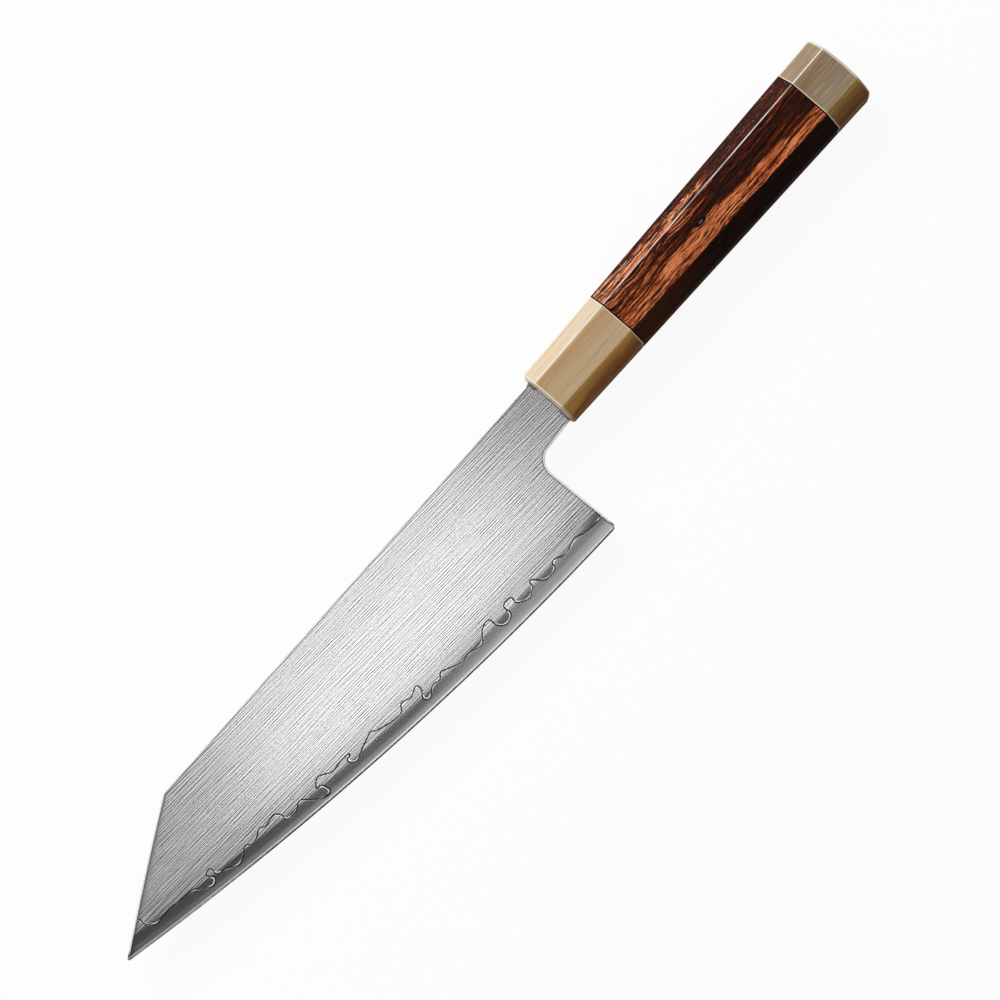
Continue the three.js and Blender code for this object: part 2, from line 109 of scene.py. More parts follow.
# Octagonal handle
FERRULE_LENGTH = 30.8
BODY_LENGTH = 85.8
CAP_LENGTH = 15.35
FRONT_WIDTH = 19.8
REAR_WIDTH = 24.2
FRONT_HEIGHT = 17.6
REAR_HEIGHT = 21.3
FRONT_CHAMFER = 4.5
REAR_CHAMFER = 5.3
RIDGE_EASE = 0.3
FERRULE_ROUND = 1.0
JOINT_EASE = 0.22
BUTT_ROUND = 1.0
BUTT_RADIUS = 70.0  # of the ball that the butt is part of
TANG_BORE = 13.1
TANG_BORE_START = 8.0
TANG_BORE_END = 84.3
CAP_BORE = 8.6
CAP_BORE_IN_BODY = 12.3
CAP_BORE_IN_CAP = 8.3

# Fineness of the curves
EDGE_STEP = 0.8
OUTLINE_STEP = 1.5
FILLET_STEPS = 14
EASE_STEPS = 4
RIM_ROWS = (0.7, 1.2)  # insets of the fine rows along the whole outline
SPLINE_STEPS = 14
WAVE_STEP = 0.25
GROOVE_ROWS = (-1, -0.66, -0.33, 0.33, 0.66, 1)  # shares of the groove's reach, to both of its sides
ROW_SHARE = 0.9  # points of these rows that bends bring nearer to the line than this are left out
LOOSE_MARGIN = 1.3 * EASE  # the rows end this far inside the outline
BEVEL_ROW = 0.5
BEVEL_REACH = 9.0  # how far above the edge the fine rows go
HONED_MARGIN = 3.0  # where the honed strip's upper border stops before tip and heel
BULGE_WINDOW = 15  # stretches of the lamination line over which its bend is smoothed
BULGE_GAIN = 2.5
RIDGE_STEPS = 6
FACET_STEPS = 6
ROUND_STEPS = 6
CROWN_STEPS = 7
NEAREST_BLOCK = 64  # points per step of the distance search
SLOPE_STEP = 0.02
RIM_CORNER = 0.8  # cosine of the turn up to which two rim edges share a normal
SHARP_ANGLE = math.radians(50)
BRUSH_SPAN = 100  # millimetres per unit of the brushing's map

# Sizes that follow from the ones above
MM = 0.001
HANDLE_LENGTH = FERRULE_LENGTH + BODY_LENGTH + CAP_LENGTH
BODY_START = FERRULE_LENGTH
CAP_START = FERRULE_LENGTH + BODY_LENGTH
HEEL_X = HEEL_KICK - HEEL_SETBACK
CORNER_X = TIP_RUN - BLADE_LENGTH

# Where the knife's own frame lies in the model's
ferrule_low, ferrule_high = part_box("ferrule")
FRAME_ORIGIN = Vector((
    ferrule_low.x,
    (ferrule_low.y + ferrule_high.y) / 2,
    (ferrule_low.z + ferrule_high.z) / 2,
))


def place(point):
    return FRAME_ORIGIN + Vector(point) * MM


# Plane geometry

def lerp(a, b, share):
    return a + (b - a) * share


def smooth(low, high, value):
    share = np.clip((value - low) / (high - low), 0, 1)
    return share * share * (3 - 2 * share)


def unit(vector):
    return vector / np.linalg.norm(vector)


def units(rows):
    return rows / np.linalg.norm(rows, axis=1)[:, None]


def left_of(along):
    """Unit vectors to the left of directions in the plane."""
    return units(np.column_stack([-along[:, 1], along[:, 0]]))


def fillet(start, corner, end, radius, steps=FILLET_STEPS):
    back = unit(np.subtract(start, corner))
    ahead = unit(np.subtract(end, corner))
    half = math.acos(np.clip(back @ ahead, -1, 1)) / 2
    reach = radius / math.tan(half)
    centre = corner + unit(back + ahead) * radius / math.sin(half)
    first = corner + back * reach - centre
    last = corner + ahead * reach - centre
    first_angle = math.atan2(first[1], first[0])
    turn = math.atan2(first[0] * last[1] - first[1] * last[0], first @ last)
    angles = first_angle + turn * np.linspace(0, 1, steps + 1)
    return centre + radius * np.column_stack([np.cos(angles), np.sin(angles)])


def spline(points, steps):
    """Smooth curve through the points, with the given number of steps between two of them."""
    points = np.asarray(points, float)
    before = np.vstack([points[:1], points[:-2]])
    after = np.vstack([points[2:], points[-1:]])
    t = np.linspace(0, 1, steps, endpoint=False)[:, None]
    spans = []
    for p0, p1, p2, p3 in zip(before, points[:-1], points[1:], after):
        v0 = (p2 - p0) / 2
        v1 = (p3 - p1) / 2
        cubic = 2 * p1 - 2 * p2 + v0 + v1
        square = 3 * p2 - 3 * p1 - 2 * v0 - v1
        spans.append(cubic * t**3 + square * t**2 + v0 * t + p1)
    return np.vstack(spans + [points[-1:]])


def divide(path, step):
    """The path with points added so that no stretch is longer than the step."""
    pieces = []
    for a, b in zip(path[:-1], path[1:]):
        count = max(1, math.ceil(np.linalg.norm(b - a) / step))
        pieces.append(lerp(a, b, np.linspace(0, 1, count, endpoint=False)[:, None]))
    return np.vstack(pieces + [path[-1:]])


def nearest(points, path, closed):
    """Distance of each point to the path, the way from it, and the left and number of the stretch there."""
    ends = np.roll(path, -1, axis=0) if closed else path[1:]
    starts = path if closed else path[:-1]
    along = ends - starts
    squared = (along**2).sum(1)
    gaps = []
    numbers = []
    for block in np.array_split(points, max(1, len(points) // NEAREST_BLOCK)):
        offset = block[:, None] - starts
        share = np.clip((offset * along).sum(2) / squared, 0, 1)
        gap = offset - along * share[:, :, None]
        best = (gap**2).sum(2).argmin(1)
        gaps.append(gap[np.arange(len(block)), best])
        numbers.append(best)
    gaps = np.vstack(gaps)
    numbers = np.concatenate(numbers)
    distance = np.linalg.norm(gaps, axis=1)
    away = gaps / np.maximum(distance, 1e-9)[:, None]
    return distance, away, left_of(along)[numbers], numbers


def inside(points, polygon):
    x, y = points[:, 0], points[:, 1]
    result = np.zeros(len(points), bool)
    for (ax, ay), (bx, by) in zip(polygon, np.roll(polygon, -1, axis=0)):
        if ay != by:
            crosses = (ay > y) != (by > y)
            result ^= crosses & (x < (bx - ax) * (y - ay) / (by - ay) + ax)
    return result


# Blade outline and faces

TIP = np.array([-BLADE_LENGTH, -TIP_DEPTH])
HEEL = np.array([HEEL_X, -HEEL_DEPTH])
chord = TIP - HEEL
EDGE_CENTRE = (HEEL + TIP) / 2 + unit(np.array([chord[1], -chord[0]])) * math.sqrt(
    EDGE_RADIUS**2 - chord @ chord / 4)


def edge_y(x):
    return EDGE_CENTRE[1] - np.sqrt(EDGE_RADIUS**2 - (x - EDGE_CENTRE[0]) ** 2)


def spine_y(x):
    return NECK_ABOVE + SPINE_RISE * x / CORNER_X


def tang_half_width(x):
    return lerp(TANG_WIDTH_FRONT, TANG_WIDTH_REAR, x / TANG_LENGTH) / 2


def edge_point(x):
    return np.array([x, edge_y(x)])


def edge_row(above, margin):
    """Points along the blade at a height above its cutting edge."""
    x = np.arange(margin - BLADE_LENGTH, HEEL_X - margin, 2 * BEVEL_ROW)
    return np.column_stack([x, edge_y(x) + above])


def blade_outline():
    """Closed outline of blade and tang, with the metal on the right of the path."""
    corner = np.array([CORNER_X, spine_y(CORNER_X)])
    neck_low = np.array([NECK_END, -NECK_BELOW])
    neck_high = np.array([NECK_END, spine_y(NECK_END)])
    choil = np.array([-HEEL_SETBACK, -NECK_BELOW - NECK_DROP])
    swell = unit(np.array([TIP[1] - corner[1], corner[0] - TIP[0]])) * 2 * TIP_BOW
    tip_middle = (TIP + corner) / 2 + swell
    choil_arc = fillet(neck_low, choil, HEEL, CHOIL_RADIUS)
    heel_arc = fillet(choil, HEEL, edge_point(HEEL_X - HEEL_RADIUS), HEEL_RADIUS)
    tip_arc = fillet(edge_point(TIP[0] + TIP_RADIUS), TIP, tip_middle, TIP_RADIUS)
    corner_arc = fillet(tip_middle, corner, neck_high, CORNER_RADIUS)
    back = divide(np.vstack([[neck_low], choil_arc, heel_arc[:1]]), EDGE_STEP)
    edge_count = int((heel_arc[-1, 0] - tip_arc[0, 0]) / EDGE_STEP)
    edge_x = np.linspace(heel_arc[-1, 0], tip_arc[0, 0], edge_count)[1:-1]
    edge = np.column_stack([edge_x, edge_y(edge_x)])
    t = np.linspace(0, 1, int(TIP_RUN / EDGE_STEP))[:, None]
    angled = (1 - t)**2 * tip_arc[-1] + 2 * t * (1 - t) * tip_middle + t**2 * corner_arc[0]
    spine = divide(np.vstack([corner_arc[-1:], [neck_high]]), OUTLINE_STEP)
    root = tang_half_width(NECK_END)
    end_half = TANG_WIDTH_REAR / 2
    high_end = np.array([TANG_LENGTH, end_half])
    low_end = np.array([TANG_LENGTH, -end_half])
    tang = np.vstack([
        [[NECK_END, root]],
        fillet([NECK_END, root], high_end, low_end, TANG_END_RADIUS),
        fillet(high_end, low_end, [NECK_END, -root], TANG_END_RADIUS),
        [[NECK_END, -root]],
    ])
    tang = divide(np.vstack([neck_high[None], tang, neck_low[None]]), OUTLINE_STEP)
    return np.vstack([
        back[:-1], heel_arc, edge, tip_arc[:-1], angled[:-1], corner_arc[:-1], spine[:-1], tang[:-1],
    ])


SPINE_AT_HEEL = spine_y(HEEL_X)
TAPER_ALONG = (HEEL_THICKNESS - CORNER_THICKNESS) / 2 / (HEEL_X - CORNER_X)
TAPER_ACROSS = (HEEL_THICKNESS - SHOULDER_THICKNESS) / 2 / (SPINE_AT_HEEL + HEEL_DEPTH - BEVEL_WIDTH)


def face_height(x, y):
    return HEEL_THICKNESS / 2 + TAPER_ALONG * (x - HEEL_X) + TAPER_ACROSS * (y - SPINE_AT_HEEL)


def half_thickness(x, y):
    above = y - edge_y(np.minimum(x, HEEL_X))
    share = np.clip((above - MICRO_WIDTH) / (BEVEL_WIDTH - MICRO_WIDTH), 0, 1)
    shoulder = face_height(x, y - above + BEVEL_WIDTH)
    bevel = lerp(MICRO_THICKNESS / 2, shoulder, 1 - (1 - share)**BEVEL_CROWN)
    micro = lerp(EDGE_THICKNESS, MICRO_THICKNESS, np.clip(above / MICRO_WIDTH, 0, 1)) / 2
    height = np.where(above < MICRO_WIDTH, micro, np.where(above < BEVEL_WIDTH, bevel, face_height(x, y)))
    return lerp(height, TANG_THICKNESS / 2, smooth(NECK_END, 0, x))


def rim_ease(half):
    ease = np.minimum(EASE, EASE_SHARE * (half - CORE_THICKNESS / 2))
    return np.where(ease < LEAST_EASE, 0, ease)


def left_lamination():
    x = np.array([along - BLADE_LENGTH for along, above in LAMINATION_LEFT])
    above = np.array([above for along, above in LAMINATION_LEFT])
    line = np.column_stack([x, edge_y(x) + above])
    return spline(np.vstack([line[0] + LEAD_IN, line, line[-1] + LEAD_OUT]), SPLINE_STEPS)


def right_lamination():
    x = np.arange(-BLADE_LENGTH, HEEL_X + 1, WAVE_STEP)
    swing = sum(size * np.sin(2 * math.pi * x / length + start) for length, size, start in RIGHT_WAVES)
    return np.column_stack([x, edge_y(x) + RIGHT_WAVE_HEIGHT + swing])


OUTLINE = blade_outline()


def trim(line):
    """The stretch of the line that lies on the blade, ending in points of the outline."""
    kept = np.flatnonzero(inside(line, OUTLINE) & (nearest(line, OUTLINE, True)[0] > EASE))
    first, last = kept[0], kept[-1]
    ends = []
    for index, step in ((first, -1), (last, 1)):
        beyond = line[index] + unit(line[min(max(index + step, 0), len(line) - 1)] - line[index]) * EASE
        ends.append(OUTLINE[((OUTLINE - beyond)**2).sum(1).argmin()])
    return np.vstack([ends[:1], line[first:last + 1], ends[1:]])


class Face:
    """One side of the blade, cut into triangles along its rims and its lamination line."""

    def __init__(self, line):
        self.line = trim(line)
        self.points, self.triangles = self.cut()
        gap, _, side, _ = nearest(self.points, OUTLINE, True)
        half = half_thickness(*self.points.T)
        ease = rim_ease(half)
        share = np.clip(1 - gap / np.maximum(ease, 1e-6), 0, 1)
        lift = np.sqrt(1 - share**2)
        distance, away, _, stretch = nearest(self.points, self.line, False)
        seam = np.where(self.is_clad(self.points), distance, -distance)
        self.marks = np.column_stack([seam, self.bulges()[stretch], gap])
        depth = np.clip(1 - distance / GROOVE_REACH, 0, 1)
        self.height = half - ease * (1 - lift) - GROOVE_DEPTH * depth**2
        slope = self.face_slope() + away * (2 * GROOVE_DEPTH / GROOVE_REACH * depth)[:, None]
        self.normals = units(np.column_stack([side * share[:, None] - slope * lift[:, None], lift]))
        self.clad = self.is_clad(self.points[self.triangles].mean(1))

    def is_clad(self, points):
        far = 2 * BLADE_LENGTH
        around = [[far, self.line[-1, 1]], [far, far], [-far, far], [-far, self.line[0, 1]]]
        return inside(points, np.vstack([self.line, around]))

    def bulges(self):
        """For each stretch of the line, from -1 to 1, how much it bulges into the cladding there."""
        along = np.diff(self.line, axis=0)
        turn = np.gradient(np.unwrap(np.arctan2(along[:, 1], along[:, 0])))
        bend = -turn / np.linalg.norm(along, axis=1)
        window = np.hanning(BULGE_WINDOW)
        return np.clip(BULGE_GAIN * np.convolve(bend, window / window.sum(), "same"), -1, 1)

    def face_slope(self):
        slopes = []
        for step in ([SLOPE_STEP, 0], [0, SLOPE_STEP]):
            ahead = half_thickness(*(self.points + step).T)
            behind = half_thickness(*(self.points - step).T)
            slopes.append((ahead - behind) / (2 * SLOPE_STEP))
        return np.column_stack(slopes)

    def cut(self):
        points, edges = [], []

        def add_path(path, closed):
            start = sum(map(len, points))
            points.append(path)
            count = len(path)
            edges.extend((start + i, start + i + 1) for i in range(count - 1))
            if closed:
                edges.append((start + count - 1, start))

        ease = rim_ease(half_thickness(OUTLINE[:, 0], OUTLINE[:, 1]))
        inward = -left_of(np.roll(OUTLINE, -1, axis=0) - np.roll(OUTLINE, 1, axis=0))
        for step in range(EASE_STEPS + 1):
            inset = ease * (1 - math.cos(math.pi / 2 * step / EASE_STEPS))
            add_path(OUTLINE + inward * inset[:, None], True)
        add_path(self.line, False)
        add_path(edge_row(MICRO_WIDTH, HONED_MARGIN), False)
        loose = [self.beside_line(offset) for offset in GROOVE_ROWS]
        heights = np.arange(MICRO_WIDTH + BEVEL_ROW, BEVEL_REACH, BEVEL_ROW)
        loose += [edge_row(above, 0) for above in heights]
        loose += [OUTLINE + inward * inset for inset in RIM_ROWS]
        for group in loose:
            gap = nearest(group, OUTLINE, True)[0]
            points.append(group[inside(group, OUTLINE) & (gap > LOOSE_MARGIN)])
        every = np.vstack(points)
        corners, _, faces, *_ = delaunay_2d_cdt([Vector(p) for p in every], edges, [], 0, 1e-5)
        corners = np.array(corners)
        faces = np.array([face for face in faces if len(face) == 3])
        faces = faces[inside(corners[faces].mean(1), OUTLINE)]
        return corners, faces

    def beside_line(self, offset):
        moved = self.line + left_of(np.gradient(self.line, axis=0)) * offset * GROOVE_REACH
        gap = nearest(moved, self.line, False)[0]
        return moved[gap > ROW_SHARE * abs(offset) * GROOVE_REACH]


# Meshes

def new_piece(name, vertices, faces):
    mesh = bpy.data.meshes.new(name)
    mesh.from_pydata([place(v) for v in vertices], [], faces)
    mesh.polygons.foreach_set("use_smooth", [True] * len(mesh.polygons))
    piece = bpy.data.objects.new(name, mesh)
    bpy.context.scene.collection.objects.link(piece)
    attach(piece, "root")
    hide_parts(name)
    return piece


class Shell:
    """Collects faces with their own normals, so that flat and round surfaces meet without false shading."""

    def __init__(self):
        self.vertices = []
        self.marks = []
        self.faces = []
        self.normals = []

    def sheet(self, points, heights, normals, marks, triangles, up):
        start = len(self.vertices)
        used, local = np.unique(triangles, return_inverse=True)
        self.vertices += [(*points[i], heights[i]) for i in used]
        self.marks += [marks[i] for i in used]
        for triangle in local.reshape(-1, 3):
            order = triangle if up else triangle[::-1]
            self.faces.append([start + i for i in order])
            self.normals += [normals[used[i]] for i in order]
        return {old: start + new for new, old in enumerate(used)}

    def wall(self, outer, inner, rim, side=1):
        """Upright faces between two sheets, along directed rim edges with the metal on their left."""
        upper, lower = (outer, inner) if side > 0 else (inner, outer)
        for a, b, out_a, out_b in rim:
            self.faces.append([lower[a], lower[b], upper[b], upper[a]])
            self.normals += [out_a, out_b, out_b, out_a]

    def piece(self, name, slot):
        piece = new_piece(name, self.vertices, self.faces)
        mesh = piece.data
        mesh.normals_split_custom_set([Vector(n) for n in self.normals])
        for mark, values in zip(("seam", "bulge", "rim"), np.array(self.marks, dtype=np.float32).T):
            mesh.attributes.new(mark, "FLOAT", "POINT").data.foreach_set("value", values.copy())
        brush = mesh.uv_layers.new(name="brush")
        corners = [self.vertices[loop.vertex_index] for loop in mesh.loops]
        brush.data.foreach_set("uv", np.array([(y, x) for x, y, z in corners]).ravel() / BRUSH_SPAN)
        return piece


def outward_of(points, a, b):
    along = unit(points[b] - points[a])
    return np.array([along[1], -along[0], 0])


def rim_edges(points, triangles):
    """Edges that only one triangle uses, with the outward direction at both of their ends."""
    edges = {}
    for triangle in triangles:
        for a, b in zip(triangle, np.roll(triangle, -1)):
            if (b, a) in edges:
                del edges[(b, a)]
            else:
                edges[(a, b)] = True
    outward = {}
    for a, b in edges:
        for end in (a, b):
            outward.setdefault(end, []).append(outward_of(points, a, b))
    mean = {end: unit(sum(sides)) for end, sides in outward.items()}
    rim = []
    for a, b in edges:
        flat = outward_of(points, a, b)
        rim.append((a, b, *[mean[end] if mean[end] @ flat > RIM_CORNER else flat for end in (a, b)]))
    return rim


def counter_clockwise(points, triangles):
    a, b, c = (points[triangles[:, i]] for i in range(3))
    area = (b[:, 0] - a[:, 0]) * (c[:, 1] - a[:, 1]) - (b[:, 1] - a[:, 1]) * (c[:, 0] - a[:, 0])
    return np.where((area > 0)[:, None], triangles, triangles[:, ::-1])


UP = np.array([0, 0, 1.0])


def cladding(name, face, side):
    points = face.points
    triangles = counter_clockwise(points, face.triangles[face.clad])
    shell = Shell()
    layer = np.full(len(points), side * CORE_THICKNESS / 2)
    level = np.tile(-side * UP, (len(points), 1))
    outer = face.normals * [1, 1, side]
    top = shell.sheet(points, side * face.height, outer, face.marks, triangles, side > 0)
    base = shell.sheet(points, layer, level, face.marks, triangles, side < 0)
    shell.wall(top, base, rim_edges(points, triangles), side)
    return shell.piece(name, "cladding_steel")


def spot(point):
    return tuple(np.round(point, 4))


def core(left, right):
    shell = Shell()
    rings = {}
    for face, side in ((left, 1), (right, -1)):
        points = face.points
        outer = face.normals * [1, 1, side]
        bare = counter_clockwise(points, face.triangles[~face.clad])
        covered = counter_clockwise(points, face.triangles[face.clad])
        layer = np.full(len(points), side * CORE_THICKNESS / 2)
        level = np.tile(side * UP, (len(points), 1))
        shown = shell.sheet(points, side * face.height, outer, face.marks, bare, side > 0)
        hidden = shell.sheet(points, layer, level, face.marks, covered, side > 0)
        bare_rim = rim_edges(points, bare)
        covered_keys = {(b, a) for a, b, *_ in rim_edges(points, covered)}
        step = [edge for edge in bare_rim if edge[:2] in covered_keys]
        shell.wall(shown, hidden, step, side)
        whole_rim = rim_edges(points, counter_clockwise(points, face.triangles))
        corner = {**hidden, **shown}
        rings[side] = {spot(points[i]): corner[i] for edge in whole_rim for i in edge[:2]}
        if side > 0:
            rim = [(spot(points[a]), spot(points[b]), out_a, out_b) for a, b, out_a, out_b in whole_rim]
    shell.wall(rings[1], rings[-1], rim)
    return shell.piece("blade_core", "core_steel")


# Handle

def octagon(x, inset=0.0):
    """Points round the handle at x, drawn in by an inset, with every ridge rounded."""
    share = x / HANDLE_LENGTH
    y = lerp(FRONT_WIDTH, REAR_WIDTH, share) / 2 - inset
    z = lerp(FRONT_HEIGHT, REAR_HEIGHT, share) / 2 - inset
    chamfer = lerp(FRONT_CHAMFER, REAR_CHAMFER, share) - inset * (2 - math.sqrt(2))
    upper = [(y, z - chamfer), (y - chamfer, z), (chamfer - y, z), (-y, z - chamfer)]
    corners = np.array(upper + [(-a, -b) for a, b in upper])
    radius = RIDGE_EASE / math.tan(math.pi / 8)
    rounded = [fillet(corners[i - 1], corners[i], corners[(i + 1) % 8], radius, RIDGE_STEPS)
               for i in range(8)]
    shares = np.linspace(0, 1, FACET_STEPS + 1)[1:-1, None]
    sides = [lerp(rounded[i][-1], rounded[(i + 1) % 8][0], shares) for i in range(8)]
    points = np.vstack([part for ridge, side in zip(rounded, sides) for part in (ridge, side)])
    return np.column_stack([np.full(len(points), x), points])


def circle(x, diameter, like):
    angles = np.arctan2(like[:, 2], like[:, 1])
    radius = diameter / 2
    return np.column_stack([np.full(len(like), x), radius * np.cos(angles), radius * np.sin(angles)])


def slot_loop(x, like):
    """Rectangular mouth of the tang's slot, with one point towards each point of another loop."""
    half_y = tang_half_width(x) + TANG_CLEARANCE
    half_z = TANG_THICKNESS / 2 + TANG_CLEARANCE
    ways = like[:, 1:] / np.abs(like[:, 1:] / [half_y, half_z]).max(1)[:, None]
    return np.column_stack([np.full(len(like), x), ways])


def outer_loops(start, end, start_round, end_round):
    angles = np.linspace(0, math.pi / 2, ROUND_STEPS + 1)
    steps = [(1 - math.cos(angle), 1 - math.sin(angle)) for angle in angles]
    front = [octagon(start + start_round * along, start_round * inset) for along, inset in steps]
    rear = [octagon(end - end_round * along, end_round * inset) for along, inset in steps]
    return front + rear[::-1]


def inner_loops(rim):
    """Loops that carry an end face from its rim towards its middle."""
    return [rim * [1, share, share] for share in np.linspace(1, 0, CROWN_STEPS + 2)[1:-1]]


def on_ball(loop):
    """Loop set back from a flat butt to a ball-shaped one."""
    set_back = (loop[:, 1]**2 + loop[:, 2]**2) / (2 * BUTT_RADIUS)
    return np.column_stack([loop[:, 0] - set_back, loop[:, 1:]])


def skin(name, loops, ring):
    """Piece over loops of points, closed by a cap at both ends or, as a ring, back onto its first loop."""
    count = len(loops[0])
    vertices = np.vstack(loops)
    faces = []
    last = len(loops) if ring else len(loops) - 1
    for i in range(last):
        low = i * count
        high = (i + 1) % len(loops) * count
        for j in range(count):
            k = (j + 1) % count
            faces.append([low + j, low + k, high + k, high + j])
    if not ring:
        faces.append(list(range(count))[::-1])
        faces.append(list(range((len(loops) - 1) * count, len(vertices))))
    piece = new_piece(name, vertices, faces)
    weighted = piece.modifiers.new("weighted_normals", "WEIGHTED_NORMAL")
    weighted.keep_sharp = True
    return piece


def sharpen(piece):
    """Marks the edges where two faces meet at more than the sharp angle."""
    mesh = piece.data
    normals = {}
    for polygon in mesh.polygons:
        for key in polygon.edge_keys:
            normals.setdefault(key, []).append(polygon.normal)
    for edge in mesh.edges:
        pair = normals[edge.key]
        edge.use_edge_sharp = len(pair) == 2 and pair[0].angle(pair[1], 0) > SHARP_ANGLE


def ferrule():
    outer = outer_loops(0, FERRULE_LENGTH, FERRULE_ROUND, JOINT_EASE)
    like = outer[-1]
    inner = [
        circle(FERRULE_LENGTH, TANG_BORE, like), circle(TANG_BORE_START, TANG_BORE, like),
        slot_loop(TANG_BORE_START, like), slot_loop(0, like),
    ]
    return skin("ferrule", outer + inner, True)


def handle_body():
    outer = outer_loops(BODY_START, CAP_START, JOINT_EASE, JOINT_EASE)
    front = [circle(x, TANG_BORE, outer[0]) for x in (TANG_BORE_END, BODY_START)]
    rear = [circle(x, CAP_BORE, outer[-1]) for x in (CAP_START, CAP_START - CAP_BORE_IN_BODY)]
    return skin("handle_body", front + outer + rear, False)


def end_cap():
    outer = outer_loops(CAP_START, HANDLE_LENGTH, JOINT_EASE, BUTT_ROUND)
    bored = [circle(x, CAP_BORE, outer[0]) for x in (CAP_START + CAP_BORE_IN_CAP, CAP_START)]
    front = outer[:len(outer) // 2]
    butt = [on_ball(loop) for loop in outer[len(outer) // 2:] + inner_loops(outer[-1])]
    return skin("end_cap", bored + front + butt, False)


left_face = Face(left_lamination())
right_face = Face(right_lamination())
blade = {
    "core": core(left_face, right_face),
    "left": cladding("cladding_left", left_face, 1),
    "right": cladding("cladding_right", right_face, -1),
}
handle = {"ferrule": ferrule(), "body": handle_body(), "cap": end_cap()}
for piece in handle.values():
    sharpen(piece)


# Materials: ranges along x, y and z are in millimetres of the knife's own frame

BEVEL_ROUGHNESS = 0.12
FLAT_ROUGHNESS = 0.24
BRUSHED_ANISOTROPY = 0.85
INCLUSIONS = [(-108.3, -28.3), (-137.6, -21.0), (-125.5, -26.8)]
HAIRLINE_SPACING = 0.56
HAIRLINE_CELLS = (0.09, 4.4, 4.4)  # noise cells per millimetre along and across the brushing
BRUSH_ANGLE = math.radians(3.1)  # from the handle's axis to the brushed hairlines
TIP_INWARD = unit(np.array([spine_y(CORNER_X) + TIP_DEPTH, -TIP_RUN]))
RIDGE_FRONT = FRONT_WIDTH / 2 - FRONT_CHAMFER
RIDGE_SPREAD = (REAR_WIDTH / 2 - REAR_CHAMFER - RIDGE_FRONT) / HANDLE_LENGTH
SIDE_SPREAD = (REAR_WIDTH - FRONT_WIDTH) / 2 / HANDLE_LENGTH
SHADED_SIDE_FRONT = 5.3  # from the axis to the wood's strip of painted shade on the edge side
SHADED_SIDE_SPREAD = 0.0145
KNOT_X = 68.2
KNOT_STRETCH = 2.4  # half of the knot's length, while half of its width is 1 mm

# Colours of the steel
BLACK = (0, 0, 0)
WHITE = (1, 1, 1)
BRUSHED_TONES = [(0.05, (0.14, 0.14, 0.141)), (0.5, (0.60, 0.60, 0.60)), (0.95, (0.94, 0.94, 0.94))]
CLADDING_BEVEL = [(0.3, (0.31, 0.31, 0.315)), (0.7, (0.40, 0.40, 0.405))]
CORE_BEVEL = [(0.3, (0.59, 0.59, 0.575)), (0.7, (0.71, 0.71, 0.695))]
UPRIGHT_STEEL = (0.5, 0.5, 0.5)
SCORED_STEEL = (0.05, 0.05, 0.05)
INCLUSION_RIM = (0.1, 0.1, 0.1)
INCLUSION_HEART = (0.9, 0.9, 0.9)
TIP_SHADE = (0.2, 0.23, 0.26)
POINT_SHADE = (0.04, 0.055, 0.065)
# painted highlight along one side of the lamination line
LINE_HIGHLIGHT = (0.95, 0.95, 0.95)
LINE_DARK = (0.03, 0.03, 0.032)
RIM_SHADE = (0.16, 0.16, 0.165)
# painted highlight along the blade's rims
RIM_HIGHLIGHT = (0.95, 0.94, 0.93)
# honed strip along the edge, painted near-white as a highlight
HONED_HIGHLIGHT = (0.95, 0.95, 0.94)
EDGE_SHADE = (0.05, 0.04, 0.035)

# Colours of the horn, where the tones run across the handle from the edge side to the spine side: the
# horn's colour with painted shade on the edge side and painted light on the spine side
HORN_SPAN = 24.0  # millimetres that the tones take
FERRULE_LIT_TONES = [
    (0.05, (0.17, 0.053, 0.009)), (0.16, (0.31, 0.105, 0.015)), (0.25, (0.72, 0.36, 0.065)),
    (0.275, (0.58, 0.41, 0.22)), (0.32, (0.59, 0.43, 0.25)), (0.50, (0.58, 0.41, 0.225)),
    (0.68, (0.56, 0.335, 0.14)), (0.74, (0.80, 0.63, 0.43)), (0.9, (0.82, 0.66, 0.47)),
]
CAP_LIT_TONES = [
    (0.02, (0.18, 0.065, 0.012)), (0.12, (0.32, 0.145, 0.03)), (0.20, (0.58, 0.35, 0.10)),
    (0.23, (0.38, 0.27, 0.145)), (0.28, (0.35, 0.262, 0.172)), (0.5, (0.33, 0.235, 0.147)),
    (0.70, (0.29, 0.185, 0.095)), (0.78, (0.35, 0.24, 0.14)), (0.92, (0.38, 0.26, 0.155)),
]
FERRULE_STREAK = (0.42, 0.27, 0.13)
FERRULE_END = (0.93, 0.74, 0.66)
CAP_STREAK = (0.21, 0.14, 0.075)
CAP_END = (0.45, 0.32, 0.19)
HORN_HAIR = (0.95, 0.84, 0.70)
# painted highlight along the spine-side ridges
HORN_RIDGE_HIGHLIGHT = (0.95, 0.90, 0.82)
# painted highlight along the horn's outer spine-side ridge
HORN_SIDE_HIGHLIGHT = (0.95, 0.88, 0.74)
# painted highlight on the horn's rounded end rims
HORN_RIM_HIGHLIGHT = (0.98, 0.88, 0.68)
# painted highlight on the horn's rim at a joint, and painted shade in the joint
HORN_JOINT_HIGHLIGHT = (0.92, 0.80, 0.62)
JOINT_SHADE = (0.02, 0.014, 0.01)

# Colours of wood and resin, where the tones run from the dark ground to the pale figure
WOOD_TONES = [
    (0.0, (0.006, 0.003, 0.0025)), (0.22, (0.032, 0.010, 0.006)), (0.42, (0.135, 0.020, 0.005)),
    (0.7, (0.42, 0.074, 0.015)), (1.0, (0.88, 0.28, 0.11)),
]
WOOD_SHINE = (1.0, 0.56, 0.32)
WOOD_PORE = (0.034, 0.008, 0.004)
WOOD_SPECK = (0.45, 0.38, 0.35)
# painted highlight along the spine-side ridges
WOOD_RIDGE_HIGHLIGHT = (0.90, 0.80, 0.75)
